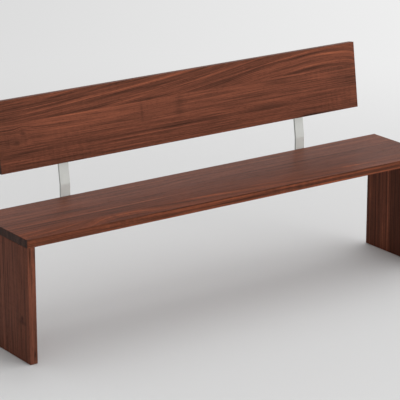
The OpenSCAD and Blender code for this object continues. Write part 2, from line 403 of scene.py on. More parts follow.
class Nodes:
    """Short ways to add nodes to a tree. A value is a number, a colour or a socket to link."""

    def __init__(self, tree):
        self.tree = tree

    def feed(self, socket, value):
        if isinstance(value, bpy.types.NodeSocket):
            self.tree.links.new(value, socket)
        else:
            socket.default_value = value

    def feed_all(self, sockets, values):
        for name, value in values.items():
            self.feed(sockets[name], value)

    def add(self, kind, inputs=None, **settings):
        node = self.tree.nodes.new("ShaderNode" + kind)
        for name, value in settings.items():
            setattr(node, name, value)
        self.feed_all(node.inputs, inputs or {})
        return node

    def math(self, operation, *values, clamp=False):
        node = self.add("Math", operation=operation, use_clamp=clamp)
        for socket, value in zip(node.inputs, values):
            self.feed(socket, value)
        return node.outputs[0]

    def plus(self, first, *others):
        for other in others:
            first = self.math("ADD", first, other)
        return first

    def minus(self, a, b):
        return self.math("SUBTRACT", a, b)

    def times(self, a, b):
        return self.math("MULTIPLY", a, b)

    def times_plus(self, a, b, c):
        return self.math("MULTIPLY_ADD", a, b, c)

    def vector_math(self, operation, *values):
        node = self.add("VectorMath", operation=operation)
        sockets = (node.inputs[0], node.inputs["Scale"]) if operation == "SCALE" else node.inputs
        for socket, value in zip(sockets, values):
            self.feed(socket, value)
        return node.outputs["Value" if operation in ("DOT_PRODUCT", "LENGTH") else "Vector"]

    def parts(self, vector):
        return self.add("SeparateXYZ", {"Vector": vector}).outputs

    def noise(self, vector, detail=2.0, roughness=0.5, scale=1.0):
        inputs = {"Vector": vector, "Scale": scale, "Detail": detail, "Roughness": roughness}
        return self.add("TexNoise", inputs).outputs

    def line_noise(self, place, detail=2.0, roughness=0.5):
        inputs = {"W": place, "Scale": 1.0, "Detail": detail, "Roughness": roughness}
        return self.add("TexNoise", inputs, noise_dimensions="1D").outputs["Fac"]

    def around(self, value, amount):
        """A noise value moved to swing about nought, times an amount."""
        return self.times(self.minus(value, 0.5), amount)

    def span(self, value, low, high, to_low=0.0, to_high=1.0):
        """A soft step from one value to another while the given value goes from low to high."""
        inputs = {"Value": value, "From Min": low, "From Max": high, "To Min": to_low, "To Max": to_high}
        return self.add("MapRange", inputs, interpolation_type="SMOOTHSTEP").outputs["Result"]

    def mix(self, share, a, b):
        node = self.add("Mix", data_type="RGBA")
        self.feed_all(node.inputs, {0: share, 6: a, 7: b})
        return node.outputs[2]

    def ramp(self, share, stops):
        node = self.add("ValToRGB", {"Fac": share})
        marks = node.color_ramp.elements
        while len(marks) < len(stops):
            marks.new(0.5)
        for stop, (place, colour) in zip(marks, stops):
            stop.position = place
            stop.color = (*colour, 1)
        return node.outputs["Color"]

    def curve(self, place, points):
        """A value drawn as a curve over the place from 0 to 1."""
        heights = [height for _, height in points]
        low = min(heights) - MM
        reach = max(heights) + MM - low
        node = self.add("FloatCurve", {"Value": place})
        line = node.mapping.curves[0]
        while len(line.points) < len(points):
            line.points.new(0.5, 0.5)
        for point, (share, height) in zip(line.points, points):
            point.location = (share, (height - low) / reach)
        node.mapping.update()
        return self.times_plus(node.outputs["Value"], reach, low)

    def turned_place(self, turn, shift=(0, 0, 0)):
        """Object coordinates, turned and then moved."""
        inputs = {"Vector": self.add("TexCoord").outputs["Object"], "Location": shift, "Rotation": turn}
        return self.add("Mapping", inputs).outputs[0]

    def facing(self, way):
        """How squarely a face looks along the way, or against it."""
        normal = self.add("NewGeometry").outputs["True Normal"]
        return self.math("ABSOLUTE", self.vector_math("DOT_PRODUCT", normal, way))


def new_group(name, inputs, outputs):
    """An empty shader node group, its nodes helper, its inputs by name and its output node."""
    group = bpy.data.node_groups.new(name, "ShaderNodeTree")
    for side, sockets in (("INPUT", inputs), ("OUTPUT", outputs)):
        for label, kind in sockets.items():
            group.interface.new_socket(name=label, in_out=side, socket_type="NodeSocket" + kind)
    start = group.nodes.new("NodeGroupInput").outputs
    return group, Nodes(group), start, group.nodes.new("NodeGroupOutput")


SURFACE_OUTPUTS = {"Color": "Color", "Roughness": "Float", "Height": "Float"}


def new_material(name):
    material = bpy.data.materials.new(name)
    material.use_nodes = True
    return material, Nodes(material.node_tree), material.node_tree.nodes["Principled BSDF"]


def finish_shader(nodes, surface, colour, roughness, height, bump, depth):
    """Gives the shader its colour, its roughness and a bump of this strength and depth."""
    raised = nodes.add("Bump", {"Strength": bump, "Distance": depth, "Height": height}).outputs["Normal"]
    nodes.feed_all(surface.inputs, {"Base Color": colour, "Roughness": roughness, "Normal": raised})


# Layers of the grain: changes in a metre along and across it, and the noise's detail and roughness
GRAIN_LAYERS = {
    "wander": (1.7, 1.2, 1.0, 0.5),
    "wobble": (7, 24, 2.0, 0.5),
    "fading": (4, 40, 1.0, 0.5),
    "cloud": (3.2, 26, 1.5, 0.5),
    "streak": (4, 150, 2.0, 0.6),
    "mottle": (14, 60, 2.0, 0.5),
    "fleck": (4.5, 340, 2.0, 0.6),
    "fibre": (34, 1000, 1.0, 0.6),
    "pore": (70, 1300, 0.0, 0.5),
    "ripple": (85, 14, 1.0, 0.5),
    "ripple_patch": (3.5, 9, 1.0, 0.5),
}
# How much each layer moves the tone, from nought for the darkest wood to 1 for the lightest
LAYER_TONES = {"cloud": 0.26, "streak": 0.14, "mottle": 0.10, "fleck": 1.20, "fibre": 0.30}
MIDDLE_TONE = 0.50
BAND_TONE = 1.1
STRIPE_TONE = 0.35
LINE_TONE = 0.16
RIPPLE_TONE = 0.5
LATE_TONE = 0.12
# Changes of the bands, the late wood and the dark lines from one ring to the next
BAND_RATE = 0.24
LATE_RATE = 0.13
LINE_RATE = 0.37
HEART_WANDER = 12 * MM
RING_WOBBLE = 4 * MM
SAW_SPECKLE = 900
SEED_SHIFT = (3.7, 1.0, 1.9)
SEED_RINGS = 11.3


def walnut_group(wood):
    """Walnut in the solid: rings about the log's heart, colour bands, fibres, pores and cross ripple."""
    if "Walnut grain" in bpy.data.node_groups:
        return bpy.data.node_groups["Walnut grain"]
    numbers = (
        "Heart Across", "Heart Depth", "Ring Width", "Boldness", "Curl", "Light", "Warmth", "Marks",
        "End Grain", "Seed",
    )
    inputs = {"Place": "Vector", **{label: "Float" for label in numbers}}
    group, nodes, given, out = new_group("Walnut grain", inputs, SURFACE_OUTPUTS)
    place = given["Place"]
    own = nodes.vector_math("SCALE", SEED_SHIFT, given["Seed"])

    def layer(name):
        along, across, detail, roughness = GRAIN_LAYERS[name]
        scaled = nodes.vector_math("MULTIPLY", place, (along, across, across))
        return nodes.noise(nodes.vector_math("ADD", scaled, own), detail, roughness)

    layers = {name: layer(name)["Fac"] for name in GRAIN_LAYERS if name != "wander"}
    streak = layers["streak"]

    # The log isn't straight: its heart wanders along the stave, and the rings wobble a little
    part = nodes.parts(place)
    wander = nodes.add("SeparateColor", {"Color": layer("wander")["Color"]}).outputs
    y = nodes.minus(part["Y"], given["Heart Across"])
    y = nodes.plus(y, nodes.around(wander["Red"], HEART_WANDER), nodes.around(layers["wobble"], RING_WOBBLE))
    z = nodes.minus(part["Z"], given["Heart Depth"])
    z = nodes.plus(z, nodes.around(wander["Green"], HEART_WANDER))
    radius = nodes.math("SQRT", nodes.plus(nodes.times(y, y), nodes.times(z, z)))
    rings = nodes.math("DIVIDE", radius, given["Ring Width"])
    rings = nodes.plus(rings, nodes.times(given["Seed"], SEED_RINGS))

    # Broad bands, dark late wood and single dark lines follow the rings
    band = nodes.line_noise(nodes.times(rings, BAND_RATE), 3.0, 0.62)
    late = nodes.math("POWER", nodes.math("FRACT", rings), 4.0)
    late = nodes.times(late, nodes.span(nodes.line_noise(nodes.times(rings, LATE_RATE)), 0.35, 0.65))
    line = nodes.minus(nodes.line_noise(nodes.times(rings, LINE_RATE), 1.0), 0.5)
    line = nodes.math("ABSOLUTE", line)
    line = nodes.times(nodes.span(line, 0.0, 0.06, 1.0, 0.0), nodes.span(layers["fading"], 0.42, 0.66))

    # Streaks, fibres and pores run along the grain, and the ripple crosses it in patches
    pores = nodes.span(layers["pore"], 0.62, 0.72)
    ripple = nodes.around(layers["ripple"], given["Curl"])
    ripple = nodes.times(ripple, nodes.span(layers["ripple_patch"], 0.45, 0.65))
    tone = nodes.plus(nodes.around(band, BAND_TONE), nodes.around(streak, STRIPE_TONE))
    tone = nodes.minus(tone, nodes.times(line, LINE_TONE))
    tone = nodes.times(tone, given["Boldness"])
    for name, amount in LAYER_TONES.items():
        tone = nodes.plus(tone, nodes.around(layers[name], amount))
    tone = nodes.plus(tone, nodes.times(ripple, RIPPLE_TONE))
    tone = nodes.minus(tone, nodes.times(late, LATE_TONE))
    tone = nodes.plus(tone, given["Marks"])
    tone = nodes.math("ADD", tone, MIDDLE_TONE, clamp=True)
    colour = nodes.ramp(tone, (
        (0.0, wood.dark), (0.30, wood.brown), (0.52, wood.red), (0.74, wood.pale), (1.0, wood.orange),
    ))
    colour = nodes.mix(nodes.times(pores, 0.45), colour, (*wood.dark, 1))
    tint = {"Saturation": given["Warmth"], "Value": given["Light"], "Color": colour}
    colour = nodes.add("HueSaturation", tint).outputs[0]

    # Sawn ends show the rings themselves, with a fine speckle
    speckle = nodes.noise(nodes.vector_math("SCALE", place, SAW_SPECKLE), 1.0)["Fac"]
    ringed = nodes.minus(nodes.plus(nodes.around(band, 0.9), 1.12), nodes.times(late, 0.45))
    ringed = nodes.plus(ringed, nodes.around(speckle, 0.5))
    sawn = nodes.vector_math("SCALE", tuple(wood.end), ringed)
    colour = nodes.mix(nodes.times(given["End Grain"], 0.85), colour, sawn)
    rough = nodes.plus(wood.satin, nodes.plus(nodes.around(streak, 0.10), nodes.times(pores, 0.15)))
    rough = nodes.plus(rough, nodes.times(given["End Grain"], 0.15))
    grooves = nodes.plus(pores, nodes.times(late, 0.3))
    height = nodes.minus(nodes.times(layers["fibre"], 0.35), grooves)
    nodes.feed_all(out.inputs, {"Color": colour, "Roughness": rough, "Height": height})
    return group


def soft_spot(nodes, place, middle, reach):
    """A mask that is 1 at the middle and fades along, across and through the stave."""
    away = nodes.vector_math("DIVIDE", nodes.vector_math("SUBTRACT", place, middle), reach)
    return nodes.math("POWER", math.e, nodes.times(nodes.vector_math("DOT_PRODUCT", away, away), -0.5))


def drifted(spot, rise, length):
    """The spot in the flow of the grain, which has drifted across the stave by then."""
    along, across, through = spot
    share = along / length + 0.5
    for (x0, y0), (x1, y1) in zip(rise, rise[1:]):
        if x0 <= share <= x1:
            return along, across - y0 - (y1 - y0) * (share - x0) / (x1 - x0), through
    raise ValueError("The spot lies beyond the stave's ends")


SEED_STEP = 1.37
LEG_SHINE = 0.5  # shine of the legs, as a share of the other boards'


def walnut(name, middle, length, turn, wood):
    """Walnut for one stave, whose grain runs along X once the turn is made about its middle."""
    cut = CUTS.get(name, Cut())
    heart_across, heart_depth = heart_of(name)
    material, nodes, surface = new_material("walnut_" + name)
    turning = Euler(turn).to_matrix()
    place = nodes.turned_place(turn, -(turning @ middle))
    end = nodes.facing(turning.inverted() @ Vector((1, 0, 0)))
    edge = nodes.facing(turning.inverted() @ Vector((0, 1, 0)))

    # The grain drifts on the wide faces only and runs straight along the narrow edges
    path = [(share, height / 1000) for share, height in cut.rise]
    rise = nodes.curve(nodes.times_plus(nodes.parts(place)["X"], 1 / length, 0.5), path)
    rise = nodes.times(rise, nodes.span(edge, 0.6, 0.9, 1.0, 0.0))
    flow = nodes.vector_math("SUBTRACT", place, nodes.add("CombineXYZ", {"Y": rise}).outputs[0])
    marks = 0.0
    for spot in cut.spots:
        marks = nodes.times_plus(soft_spot(nodes, place, spot.middle, spot.reach), spot.strength, marks)
    for streak in cut.streaks:
        mask = soft_spot(nodes, flow, drifted(streak.middle, path, length), streak.reach)
        marks = nodes.times_plus(mask, streak.strength, marks)
    for knot in cut.knots:
        core = drifted(knot.middle, path, length)
        mask = soft_spot(nodes, flow, core, [reach / 2 for reach in knot.reach])
        marks = nodes.times_plus(mask, knot.strength, marks)
        aside = nodes.vector_math("MULTIPLY", nodes.vector_math("SUBTRACT", flow, core), (0, 1, 0))
        aside = nodes.vector_math("SCALE", aside, soft_spot(nodes, flow, core, knot.reach))
        flow = nodes.vector_math("SUBTRACT", flow, aside)
    grain = nodes.add("Group", node_tree=walnut_group(wood))
    nodes.feed_all(grain.inputs, {
        "Place": flow, "Heart Across": heart_across, "Heart Depth": heart_depth,
        "Ring Width": wood.ring_width * cut.rings, "Boldness": cut.bold, "Curl": cut.curl, "Light": cut.light,
        "Warmth": cut.warm, "Marks": marks, "End Grain": nodes.span(end, 0.75, 0.97),
        "Seed": 1.0 + SEED_STEP * ALL_STAVES.index(name),
    })
    colour, roughness, height = (grain.outputs[label] for label in SURFACE_OUTPUTS)
    finish_shader(nodes, surface, colour, roughness, height, bump=0.25, depth=0.3 * MM)
    surface.inputs["Specular IOR Level"].default_value = wood.gloss * (LEG_SHINE if "leg" in name else 1.0)
    return material


BRUSH_MARKS = (8, 1500, 1500)
POLISH_CLOUDS = (18, 40, 40)


def brushed_group():
    """Fine brush marks along one direction, with soft clouds where the polish differs."""
    if "Brush marks" in bpy.data.node_groups:
        return bpy.data.node_groups["Brush marks"]
    inputs = {"Place": "Vector", "Color": "Color", "Roughness": "Float"}
    group, nodes, given, out = new_group("Brush marks", inputs, SURFACE_OUTPUTS)
    marks = nodes.noise(nodes.vector_math("MULTIPLY", given["Place"], BRUSH_MARKS), 3.0, 0.7)["Fac"]
    cloud = nodes.noise(nodes.vector_math("MULTIPLY", given["Place"], POLISH_CLOUDS), 2.0)["Fac"]
    shade = nodes.plus(1.0, nodes.plus(nodes.around(marks, 0.22), nodes.around(cloud, 0.10)))
    colour = nodes.vector_math("SCALE", given["Color"], shade)
    rough = nodes.plus(given["Roughness"], nodes.plus(nodes.around(marks, 0.16), nodes.around(cloud, 0.10)))
    nodes.feed_all(out.inputs, {"Color": colour, "Roughness": rough, "Height": marks})
    return group


def brushed_metal(name, colour, roughness, turn=(0, 0, 0), metallic=1.0, side=1.0):
    """Metal brushed along X once the turn is made. side: painted shade, the share of their colour that the
    narrow faces which look sideways keep.
    """
    material, nodes, surface = new_material(name)
    marks = nodes.add("Group", node_tree=brushed_group())
    place = nodes.turned_place(turn)
    nodes.feed_all(marks.inputs, {"Place": place, "Color": (*colour, 1), "Roughness": roughness})
    colour, roughness, height = (marks.outputs[label] for label in SURFACE_OUTPUTS)
    # Painted shade: faces that look along X are darkened to the side share, as if less light fell on them; at
    # side 1 nothing changes.
    shade = nodes.span(nodes.facing((1, 0, 0)), 0.5, 0.9, 1.0, side)
    shaded = nodes.vector_math("SCALE", colour, shade)
    finish_shader(nodes, surface, shaded, roughness, height, bump=0.12, depth=0.1 * MM)
    surface.inputs["Metallic"].default_value = metallic
    return material


def speckled(name, colour, roughness, scale):
    """A dull moulded or sawn surface: fine speckle in colour, roughness and height."""
    material, nodes, surface = new_material(name)
    place = nodes.vector_math("MULTIPLY", nodes.add("TexCoord").outputs["Object"], scale)
    fleck = nodes.noise(place, 3.0, 0.6)["Fac"]
    darker = [part * 0.75 for part in colour]
    lighter = [min(1.0, part * 1.2) for part in colour]
    tint = nodes.ramp(fleck, ((0.3, darker), (0.7, lighter)))
    rough = nodes.plus(roughness, nodes.around(fleck, 0.2))
    finish_shader(nodes, surface, tint, rough, fleck, bump=0.2, depth=0.1 * MM)
    return material


# Settings

def length_setting(label, text, value):
    return bpy.props.FloatProperty(
        name=label, description=text, default=value, min=0, precision=4, unit="LENGTH")


def colour_setting(label, text, value):
    return bpy.props.FloatVectorProperty(
        name=label, description=text, default=value, size=3, min=0, max=1, subtype="COLOR")


def share_setting(label, text, value):
    return bpy.props.FloatProperty(
        name=label, description=text, default=value, min=0, max=1, subtype="FACTOR")


def angle_setting(label, text, degrees):
    return bpy.props.FloatProperty(
        name=label, description=text, default=math.radians(degrees), subtype="ANGLE")


def power_setting(label, text, watts):
    return bpy.props.FloatProperty(name=label, description=text, default=watts, min=0, unit="POWER")


class BenchWoodSettings(bpy.types.PropertyGroup):
    """Colours of the walnut and the shape of the boards' edges"""

    dark: colour_setting("Dark grain", "Darkest stripes of the walnut", (0.036, 0.0130, 0.0080))
    brown: colour_setting("Brown grain", "Dark stripes of the walnut", (0.096, 0.0340, 0.0198))
    red: colour_setting("Red grain", "Ground colour of the walnut", (0.160, 0.0512, 0.0288))
    pale: colour_setting("Pale grain", "Light stripes of the walnut", (0.232, 0.0720, 0.0390))
    orange: colour_setting("Orange grain", "Lightest stripes of the walnut", (0.360, 0.1120, 0.0550))
    end: colour_setting("End grain", "Colour of the boards' sawn ends", (0.036, 0.026, 0.023))
    ring_width: length_setting("Ring width", "Width of one year's growth", 0.0036)
    edge_radius: length_setting("Edge radius", "Radius of the boards' eased edges", 0.0015)
    satin: share_setting("Satin", "Roughness of the oiled surface", 0.46)
    gloss: share_setting("Gloss", "Strength of the oiled surface's shine", 0.075)


class BenchSteelSettings(bpy.types.PropertyGroup):
    """Colours of the metal, and the bends of the posts and brackets"""

    stainless: colour_setting("Stainless", "Colour of the brushed posts", (0.715, 0.742, 0.710))
    zinc: colour_setting("Zinc", "Colour of the zinc-plated brackets and their screws", (0.55, 0.56, 0.57))
    brass: colour_setting("Brass", "Colour of the threaded inserts", (0.55, 0.38, 0.14))
    bar: length_setting("Bar thickness", "Thickness of the posts' flat bar", 0.008)
    bend: length_setting("Bend radius", "Inside radius of the bend under the seat", 0.003)
    kink: length_setting("Kink radius", "Inside radius of the bend where the posts lean back", 0.002)
    kink_level: length_setting("Kink level", "Height of the lean bend above the floor", 0.494)
    lean: angle_setting("Lean", "Lean of the backrest from upright", 8)
    corner: length_setting("Corner radius", "Radius of the corners at the ends of bars and brackets", 0.006)
    arris: length_setting("Arris radius", "Radius of the broken edges of the metal", 0.0007)
    plate: length_setting("Bracket thickness", "Thickness of the angle brackets", 0.005)
    plate_bend: length_setting("Bracket bend", "Inside radius of the brackets' bend", 0.004)


class BenchFastenerSettings(bpy.types.PropertyGroup):
    """Sizes of the countersunk screws and the glides"""

    bolt_head: length_setting("Bolt head", "Diameter of the posts' screw heads", 0.012)
    bolt_shank: length_setting("Bolt shank", "Diameter of the posts' screws", 0.006)
    bolt_tip: length_setting("Bolt tip", "Length of the blunt tips of the posts' screws", 0.0008)
    wood_head: length_setting("Wood screw head", "Diameter of the brackets' screw heads", 0.010)
    wood_shank: length_setting("Wood screw shank", "Diameter of the brackets' screws", 0.005)
    wood_tip: length_setting("Wood screw tip", "Length of the tips of the brackets' screws", 0.005)
    screw_length: length_setting("Screw length", "Length of every screw, head included", 0.025)
    rim: length_setting("Rim", "Height of the upright rim of a screw head", 0.0004)
    play: length_setting("Play", "How much wider a hole is than its screw", 0.0003)
    socket: length_setting("Socket", "Width across the flats of the hexagon sockets", 0.004)
    socket_depth: length_setting("Socket depth", "Depth of the hexagon sockets", 0.0025)
    sink: length_setting("Head sink", "Depth of a head below the face around it", 0.0003)
    row: length_setting("Screw row", "From a bracket's edge to its row of screws", 0.015)
    glide: colour_setting("Glide", "Colour of the plastic glides", (0.035, 0.033, 0.031))
    glide_radius: length_setting("Glide radius", "Radius of a glide's head", 0.011)
    glide_head: length_setting("Glide head", "Thickness of a glide's head", 0.005)
    glide_edge: length_setting("Glide edge", "Radius of the edge that slides on the floor", 0.0012)
    stem_radius: length_setting("Stem radius", "Radius of a glide's stem", 0.0045)
    stem_length: length_setting("Stem length", "Length of a glide's stem", 0.016)
    beech: colour_setting("Beech", "Colour of the dowels", (0.60, 0.40, 0.22))


class BenchStageSettings(bpy.types.PropertyGroup):
    """Floor, light and camera"""

    floor: colour_setting("Floor", "Colour of the floor", (0.75, 0.75, 0.75))
    far_left: colour_setting("Far left", "Colour of the background on the left", (0.70, 0.70, 0.70))
    far_right: colour_setting("Far right", "Colour of the background on the right", (0.88, 0.88, 0.88))
    sky: bpy.props.FloatProperty(name="Sky", description="Strength of the even light", default=0.785, min=0)
    sky_lean: share_setting("Sky lean", "How much stronger the light is from the right", 1.0)
    top_power: power_setting("Top lamp", "Power of the soft lamp overhead", 70)
    front_power: power_setting("Front lamp", "Power of the soft lamp in front", 290)
    place: bpy.props.FloatVectorProperty(
        name="Camera place", description="Where the camera stands", default=(-4.2517, -5.9405, 2.6734),
        subtype="TRANSLATION")
    turn: angle_setting("Camera turn", "Angle of the view from the bench's own front", 35.283)
    pitch: angle_setting("Camera pitch", "Angle of the view below level", 17.455)
    lens: bpy.props.FloatProperty(
        name="Lens", description="Focal length of the camera", default=187.8, unit="CAMERA")


# Wooden pieces

ALONG_X = 0
ALONG_Z = 2


def stave(name, box, board, radius):
    """A stave whose edges are rounded where they lie on the outside of its board."""
    piece = block("walnut_" + name, *box)

    def outside(face):
        axis = max(range(3), key=lambda i: abs(face.normal[i]))
        reach = face.calc_center_median()[axis]
        return any(abs(reach - corner[axis]) < NEAR for corner in board)

    select(piece, "EDGE", lambda edge: all(outside(face) for face in edge.link_faces))
    round_edges(radius, steps=4)
    bpy.ops.object.mode_set(mode="OBJECT")
    return piece


def square_board(names, slot, axis, turn, wood):
    """The staves of a board that stands square to the bench, their grain along the axis."""
    boxes = [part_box(name) for name in names]
    board = box_around(boxes)
    length = board[1][axis] - board[0][axis]
    for name, (low, high) in zip(names, boxes):
        piece = stave(name, (low, high), board, wood.edge_radius)
        finish_surface(piece, WOOD_SMOOTH)
        dress(piece, walnut(name, (low + high) / 2, length, turn, wood), slot, name)


class BENCH_OT_seat(bpy.types.Operator):
    """Build the five staves of the seat"""

    bl_idname = "bench.seat"
    bl_label = "Seat"

    def execute(self, context):
        square_board(SEAT_STAVES, "seat_wood", ALONG_X, (0, 0, 0), context.scene.bench_wood)
        return {"FINISHED"}


class BENCH_OT_legs(bpy.types.Operator):
    """Build the five staves of each leg"""

    bl_idname = "bench.legs"
    bl_label = "Legs"

    def execute(self, context):
        for names in (LEFT_LEG_STAVES, RIGHT_LEG_STAVES):
            square_board(names, "leg_wood", ALONG_Z, (0, QUARTER_TURN, 0), context.scene.bench_wood)
        return {"FINISHED"}


class BENCH_OT_backrest(bpy.types.Operator):
    """Build the three staves of the leaning backrest"""

    bl_idname = "bench.backrest"
    bl_label = "Backrest"

    def execute(self, context):
        wood, lean = context.scene.bench_wood, context.scene.bench_steel.lean
        upright = Matrix.Rotation(lean, 4, "X")
        leaning = upright.inverted()
        boxes = [box_around([(point, point) for point in points_of(name, upright)]) for name in BACK_STAVES]
        for name, (low, high) in zip(BACK_STAVES, boxes):
            piece = stave(name, (low, high), box_around(boxes), wood.edge_radius)
            piece.matrix_world = leaning
            finish_surface(piece, WOOD_SMOOTH)
            middle = leaning @ ((low + high) / 2)
            finish = walnut(name, middle, high.x - low.x, (lean - QUARTER_TURN, 0, 0), wood)
            dress(piece, finish, "back_wood", name)
        return {"FINISHED"}


# Metal pieces

class ScrewKind(NamedTuple):
    """A countersunk screw: thickness of the plate it holds, diameters of head and shank, length of tip."""

    plate: float
    head: float
    shank: float
    tip: float


def bolt_kind(steel, fastener):
    return ScrewKind(steel.bar, fastener.bolt_head, fastener.bolt_shank, fastener.bolt_tip)


def wood_kind(steel, fastener):
    return ScrewKind(steel.plate, fastener.wood_head, fastener.wood_shank, fastener.wood_tip)


POST_CORNER_STEPS = 6
BRACKET_CORNER_STEPS = 5
SCREW_SIDES = 40
TIP_SHARE = 0.4  # width of a screw's end, as a share of its shank
HEAD_EDGE = 0.2 * MM
CUTTER_EXCESS = 1 * MM


def bend(angle, centre, axis, steps):
    """Bends the strip on from its selected end, by the right-hand rule."""
    # With no window, spin turns the other way
    bpy.ops.mesh.spin(steps=steps, angle=-angle, center=centre, axis=axis)


def strip_end(name, width, thickness, turn, place):
    """The end face of a flat strip, selected in edit mode."""
    deselect()
    bpy.ops.mesh.primitive_plane_add(size=1)
    piece = added(name)
    piece.scale = (width, thickness, 1)
    bpy.ops.object.transform_apply(scale=True)
    piece.rotation_euler = turn
    piece.location = place
    place_in_mesh()
    bpy.ops.object.mode_set(mode="EDIT")
    bpy.ops.mesh.select_mode(type="FACE")
    bpy.ops.mesh.select_all(action="SELECT")
    return piece


def narrow(share):
    """Narrows the selected end of a shaft to a share of its width."""
    bpy.ops.transform.resize(value=(share, share, 1))


def countersink(kind, fastener):
    """Cutter for a countersunk hole through a plate, along +Z, with the plate's far face at Z = 0."""
    head, shank = kind.head + fastener.play, kind.shank + fastener.play
    level = -kind.plate + (fastener.sink - CUTTER_EXCESS) / 2
    piece = cylinder("hole", head / 2, fastener.sink + CUTTER_EXCESS, level, SCREW_SIDES)
    select(piece, "FACE", faces_up)
    extrude((0, 0, (head - shank) / 2))
    narrow(shank / head)
    extrude((0, 0, kind.plate + CUTTER_EXCESS))
    bpy.ops.object.mode_set(mode="OBJECT")
    return piece


def screw(kind, fastener):
    """A countersunk screw with a hexagon socket, along +Z, its head in a plate whose far face is at Z = 0."""
    taper = (kind.head - kind.shank) / 2
    rim, top = fastener.rim, fastener.sink - kind.plate
    piece = cylinder("screw", kind.head / 2, rim, top + rim / 2, SCREW_SIDES)
    select(piece, "FACE", faces_up)
    extrude((0, 0, taper))
    narrow(kind.shank / kind.head)
    extrude((0, 0, fastener.screw_length - rim - taper - kind.tip))
    extrude((0, 0, kind.tip))
    narrow(TIP_SHARE)
    select(piece, "EDGE", lambda edge: all(abs(vertex.co.z - top) < NEAR for vertex in edge.verts))
    round_edges(HEAD_EDGE, steps=2)
    across_corners = fastener.socket / math.cos(math.pi / 6)
    cut_away(piece, cylinder("socket", across_corners / 2, 2 * fastener.socket_depth, top, sides=6))
    return piece


def seat_screw_places():
    """Frames of the screws that hold the posts' feet, +Z into the wood and Z = 0 on its face."""
    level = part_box("seat_stave_1")[0].z
    rows = [middle_of(name).y for name in SEAT_STAVES[2:]]
    return [Matrix.Translation((middle_of(post).x, y, level)) for post in POSTS for y in rows]


def slope_frame(steel):
    """Frame of the leaning part: Y square to the posts' front face, Z up the slope from the bend."""
    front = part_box("seat_stave_5")[1].y + steel.bend
    return Matrix.Translation((0, front, steel.kink_level)) @ Matrix.Rotation(-steel.lean, 4, "X")


def back_screw_places(steel):
    """Frames of the screws that hold the backrest to the posts."""
    slope = slope_frame(steel)
    forwards = Matrix.Rotation(QUARTER_TURN, 4, "X")
    places = []
    for name in BACK_STAVES:
        heights = [point.z for point in points_of(name, slope.inverted())]
        middle = (min(heights) + max(heights)) / 2
        places += [slope @ Matrix.Translation((middle_of(post).x, 0, middle)) @ forwards for post in POSTS]
    return places


def bracket_screw_places(fastener):
    """Frames of the wood screws in both brackets: one row up into the seat, one into the leg."""
    places = []
    for name, side in (("left_bracket", -1), ("right_bracket", 1)):
        low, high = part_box(name)
        leg = max(abs(low.x), abs(high.x)) * side
        outwards = Matrix.Rotation(side * QUARTER_TURN, 4, "Y")
        row = high.z - low.z - fastener.row
        for y in [middle_of(stave_name).y for stave_name in RIGHT_LEG_STAVES[1:4]]:
            places.append(Matrix.Translation((leg - side * row, y, high.z)))
            places.append(Matrix.Translation((leg, y, high.z - row)) @ outwards)
    return places


def set_of(piece, name, places, material, slot, node):
    """Copies of a screw or glide at all its places, as one piece in place of the solids."""
    whole = copies_of(piece, name, places)
    finish_surface(whole, METAL_SMOOTH)
    dress(whole, material, slot, node)


def work_strip(piece, end_corner, corner_steps, hole, places, steel):
    """Rounds a bent strip's end corners, breaks its edges and cuts its holes on the right-hand side."""
    take(piece)
    select(piece, "EDGE", end_corner)
    round_edges(steel.corner, corner_steps)
    bpy.ops.mesh.select_all(action="DESELECT")
    bpy.ops.mesh.edges_select_sharp(sharpness=SHARP)
    round_edges(steel.arris, steps=2)
    bpy.ops.object.mode_set(mode="OBJECT")
    right = [place for place in places if place.translation.x > 0]
    cut_away(piece, copies_of(hole, "holes", right))


def dress_pair(piece, name, material, slot):
    """Finishes the right-hand piece, mirrors it to the left and dresses both."""
    piece.name = piece.data.name = "steel_right_" + name
    finish_surface(piece, METAL_SMOOTH)
    twin = mirrored(piece, "steel_left_" + name)
    finish_surface(twin, METAL_SMOOTH)
    dress(piece, material, slot, "right_" + name)
    dress(twin, material, slot, "left_" + name)


class BENCH_OT_posts(bpy.types.Operator):
    """Bend the two posts from flat bar and drill them"""

    bl_idname = "bench.posts"
    bl_label = "Posts"

    def execute(self, context):
        steel, fastener = context.scene.bench_steel, context.scene.bench_fasteners
        low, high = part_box("right_post")
        x, width = (low.x + high.x) / 2, high.x - low.x
        seat_low, seat_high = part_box("seat_stave_5")
        under, seat_rear = seat_low.z, seat_high.y
        slope = slope_frame(steel)
        down_slope = slope.inverted()
        reach = max(point.z for point in points_of("right_post", down_slope))
        foot = (x, low.y, under - steel.bar / 2)
        piece = strip_end("post", width, steel.bar, (QUARTER_TURN, 0, 0), foot)
        extrude((0, seat_rear - low.y, 0))
        bend(QUARTER_TURN, (x, seat_rear, under + steel.bend), (1, 0, 0), steps=10)
        tangent = (steel.kink + steel.bar) * math.tan(steel.lean / 2)
        start = steel.kink_level - tangent
        extrude((0, 0, start - under - steel.bend))
        rear = seat_rear + steel.bend + steel.bar
        bend(-steel.lean, (x, rear + steel.kink, start), (1, 0, 0), steps=3)
        extrude(slope.to_3x3() @ Vector((0, 0, reach - tangent)))

        def end_corner(edge):
            ends = [vertex.co for vertex in edge.verts]
            at_foot = all(abs(point.y - low.y) < NEAR for point in ends)
            at_top = all((down_slope @ point).z > reach - NEAR for point in ends)
            return (at_foot or at_top) and abs(ends[0].x - ends[1].x) < NEAR

        places = seat_screw_places() + back_screw_places(steel)
        hole = countersink(bolt_kind(steel, fastener), fastener)
        work_strip(piece, end_corner, POST_CORNER_STEPS, hole, places, steel)
        # The posts' narrow sides get painted shade: their colour is darkened to 0.64.
        stainless = brushed_metal(
            "brushed_stainless", steel.stainless, roughness=0.44, turn=(0, 0, QUARTER_TURN), metallic=0.3,
            side=0.64)
        dress_pair(piece, "post", stainless, "post_steel")
        return {"FINISHED"}


